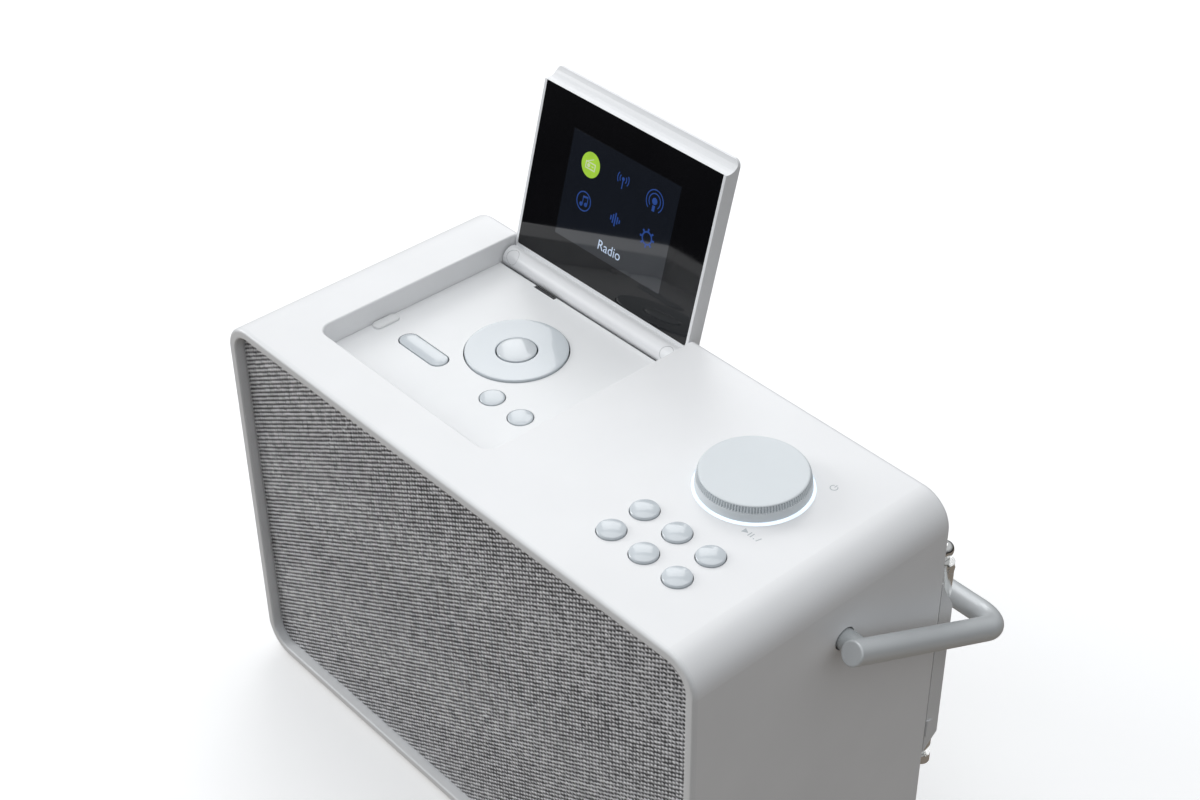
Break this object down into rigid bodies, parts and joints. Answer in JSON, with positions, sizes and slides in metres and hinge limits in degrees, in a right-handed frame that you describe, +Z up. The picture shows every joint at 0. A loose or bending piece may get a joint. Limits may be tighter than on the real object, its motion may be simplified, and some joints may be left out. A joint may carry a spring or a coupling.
{
  "type": "tabletop radio",
  "caption": "Portable tabletop radio: rounded white cabinet with a cloth front, flip-up display lid over recessed keys, volume knob, presets, swing handle and telescopic antenna.",
  "frame": {"origin": "middle of the whole radio's footprint, on the table under the feet; the handle reaches as far behind it as the front face is ahead of it", "axes": "+X to the listener's right along the width, +Y from the cloth front towards the back, +Z up"},
  "size_m": [0.3116, 0.1674, 0.2613],
  "materials": {
    "shell_white": "satin white lacquered shell",
    "bezel_white": "satin white",
    "grille_cloth": "grey melange woven cloth",
    "inner_board": "raw fibreboard",
    "back_plastic": "fine textured white",
    "cover_plastic": "fine textured white",
    "foot_rubber": "matt dark grey",
    "screw_steel": "plain steel",
    "handle_metal": "satin light grey lacquer on a metal bar",
    "pin_metal": "plain steel",
    "bush_plastic": "acetal",
    "tray_plastic": "satin white",
    "button_grey": "satin cool grey",
    "nav_centre": "satin pale grey",
    "knob_grey": "satin pale grey",
    "light_guide": "frosted, lit white from inside",
    "bumper": "pale grey elastomer",
    "inner_plastic": "moulded black",
    "circuit_board": "green solder mask",
    "lid_white": "satin white",
    "screen_glass": "black-bordered display window",
    "screen": "lit colour display",
    "antenna_chrome": "polished chrome plating",
    "speaker_metal": "black powder coat",
    "cone_paper": "pressed paper, taken as plastic",
    "magnet": "plated magnet",
    "battery": "shrink-wrapped cells",
    "socket_black": "moulded black",
    "socket_steel": "folded steel"
  },
  "bodies": {
    "cabinet": {"cabinet_shell": "shell_white", "front_bezel": "bezel_white", "grille_fabric": "grille_cloth", "grille_board": "inner_board", "speaker_baffle": "inner_board", "back_panel": "back_plastic", "antenna_guard": "back_plastic", "battery_cover": "cover_plastic", "battery_pack": "battery", "rubber_feet": "foot_rubber", "case_screws": "screw_steel", "pivot_bushes": "bush_plastic", "control_tray": "tray_plastic", "lid_rest_bumper": "bumper", "key_board": "circuit_board", "key_switches": "inner_plastic", "preset_board": "circuit_board", "preset_switches": "inner_plastic", "encoder_housing": "inner_plastic", "knob_light_ring": "light_guide", "main_board": "circuit_board", "hinge_pins": "pin_metal", "woofer_frame": "speaker_metal", "woofer_cone_part": "cone_paper", "woofer_magnet": "magnet", "tweeter": "speaker_metal", "bass_port": "inner_plastic", "audio_sockets": "socket_black", "usb_socket": "socket_steel"},
    "lid": {"lid_cover": "lid_white", "lid_frame": "lid_white", "display_glass": "screen_glass", "display_panel": "screen", "hinge_plugs": "lid_white"},
    "handle": {"handle_tube": "handle_metal", "handle_pivot_pins": "pin_metal"},
    "volume_rotor": {"encoder_rotor": "inner_plastic"},
    "volume": {"volume_knob": "knob_grey", "knob_shaft": "pin_metal"},
    "nav_cradle": {"nav_gimbal": "inner_plastic"},
    "nav": {"nav_ring": "button_grey"},
    "nav_select": {"nav_centre_button": "nav_centre"},
    "menu": {"menu_key": "button_grey"},
    "back": {"back_key": "button_grey"},
    "source": {"source_rocker": "button_grey"},
    "preset_1": {"preset_button_1": "button_grey"},
    "preset_2": {"preset_button_2": "button_grey"},
    "preset_3": {"preset_button_3": "button_grey"},
    "preset_4": {"preset_button_4": "button_grey"},
    "preset_5": {"preset_button_5": "button_grey"},
    "preset_6": {"preset_button_6": "button_grey"},
    "antenna_knuckle": {"antenna_base": "antenna_chrome"},
    "antenna_mast": {"antenna_fork": "antenna_chrome", "antenna_tilt_pin": "antenna_chrome", "antenna_section_1": "antenna_chrome"},
    "antenna_stage_2": {"antenna_section_2": "antenna_chrome"},
    "antenna_stage_3": {"antenna_section_3": "antenna_chrome"},
    "antenna_stage_4": {"antenna_section_4": "antenna_chrome"},
    "antenna_stage_5": {"antenna_section_5": "antenna_chrome", "antenna_tip": "antenna_chrome"}
  },
  "joints": [
    {"name": "lid_hinge", "type": "hinge", "parent": "cabinet", "child": "lid", "pos_m": [-0.0535, 0.04397, 0.1775], "axis": [1, 0, 0], "range_deg": [0, 104.96]},
    {"name": "handle_swing", "type": "hinge", "parent": "cabinet", "child": "handle", "pos_m": [0, -0.00673, 0.1528], "axis": [1, 0, 0], "range_deg": [-9, 62]},
    {"name": "volume_turn", "type": "hinge", "parent": "cabinet", "child": "volume_rotor", "pos_m": [0.0849, 0.00127, 0.18], "axis": [0, 0, 1], "continuous": true},
    {"name": "volume_press", "type": "slide", "parent": "volume_rotor", "child": "volume", "axis": [0, 0, -1], "range_m": [0, 0.0006], "stiffness_N_per_m": 1500, "springref_m": -0.0008},
    {"name": "nav_tilt_fore_aft", "type": "hinge", "parent": "cabinet", "child": "nav_cradle", "pos_m": [-0.0525, 0.00027, 0.1755], "axis": [1, 0, 0], "range_deg": [-1.3, 1.3], "stiffness_Nm_per_rad": 0.3},
    {"name": "nav_tilt_sideways", "type": "hinge", "parent": "nav_cradle", "child": "nav", "pos_m": [-0.0525, 0.00027, 0.1755], "axis": [0, 1, 0], "range_deg": [-1.3, 1.3], "stiffness_Nm_per_rad": 0.3},
    {"name": "nav_select_press", "type": "slide", "parent": "cabinet", "child": "nav_select", "axis": [0, 0, -1], "range_m": [0, 0.0005], "stiffness_N_per_m": 600, "springref_m": -0.0006},
    {"name": "menu_press", "type": "slide", "parent": "cabinet", "child": "menu", "axis": [0, 0, -1], "range_m": [0, 0.0006], "stiffness_N_per_m": 600, "springref_m": -0.0006},
    {"name": "back_press", "type": "slide", "parent": "cabinet", "child": "back", "axis": [0, 0, -1], "range_m": [0, 0.0006], "stiffness_N_per_m": 600, "springref_m": -0.0006},
    {"name": "source_rock", "type": "hinge", "parent": "cabinet", "child": "source", "pos_m": [-0.0795, -0.02783, 0.1749], "axis": [0, 1, 0], "range_deg": [-3, 3], "stiffness_Nm_per_rad": 0.3},
    {"name": "preset_1_press", "type": "slide", "parent": "cabinet", "child": "preset_1", "axis": [0, 0, -1], "range_m": [0, 0.0008], "stiffness_N_per_m": 600, "springref_m": -0.0006},
    {"name": "preset_2_press", "type": "slide", "parent": "cabinet", "child": "preset_2", "axis": [0, 0, -1], "range_m": [0, 0.0008], "stiffness_N_per_m": 600, "springref_m": -0.0006},
    {"name": "preset_3_press", "type": "slide", "parent": "cabinet", "child": "preset_3", "axis": [0, 0, -1], "range_m": [0, 0.0008], "stiffness_N_per_m": 600, "springref_m": -0.0006},
    {"name": "preset_4_press", "type": "slide", "parent": "cabinet", "child": "preset_4", "axis": [0, 0, -1], "range_m": [0, 0.0008], "stiffness_N_per_m": 600, "springref_m": -0.0006},
    {"name": "preset_5_press", "type": "slide", "parent": "cabinet", "child": "preset_5", "axis": [0, 0, -1], "range_m": [0, 0.0008], "stiffness_N_per_m": 600, "springref_m": -0.0006},
    {"name": "preset_6_press", "type": "slide", "parent": "cabinet", "child": "preset_6", "axis": [0, 0, -1], "range_m": [0, 0.0008], "stiffness_N_per_m": 600, "springref_m": -0.0006},
    {"name": "antenna_swivel", "type": "hinge", "parent": "cabinet", "child": "antenna_knuckle", "pos_m": [0.1325, 0.05997, 0.151], "axis": [0, -1, 0], "range_deg": [-180, 0]},
    {"name": "antenna_tilt", "type": "hinge", "parent": "antenna_knuckle", "child": "antenna_mast", "pos_m": [0.1325, 0.05997, 0.143], "axis": [1, 0, 0], "range_deg": [0, 15]},
    {"name": "antenna_extend_1", "type": "slide", "parent": "antenna_mast", "child": "antenna_stage_2", "axis": [0, 0, -1], "range_m": [0, 0.08]},
    {"name": "antenna_extend_2", "type": "slide", "parent": "antenna_stage_2", "child": "antenna_stage_3", "axis": [0, 0, -1], "range_m": [0, 0.08]},
    {"name": "antenna_extend_3", "type": "slide", "parent": "antenna_stage_3", "child": "antenna_stage_4", "axis": [0, 0, -1], "range_m": [0, 0.08]},
    {"name": "antenna_extend_4", "type": "slide", "parent": "antenna_stage_4", "child": "antenna_stage_5", "axis": [0, 0, -1], "range_m": [0, 0.08]}
  ]
}
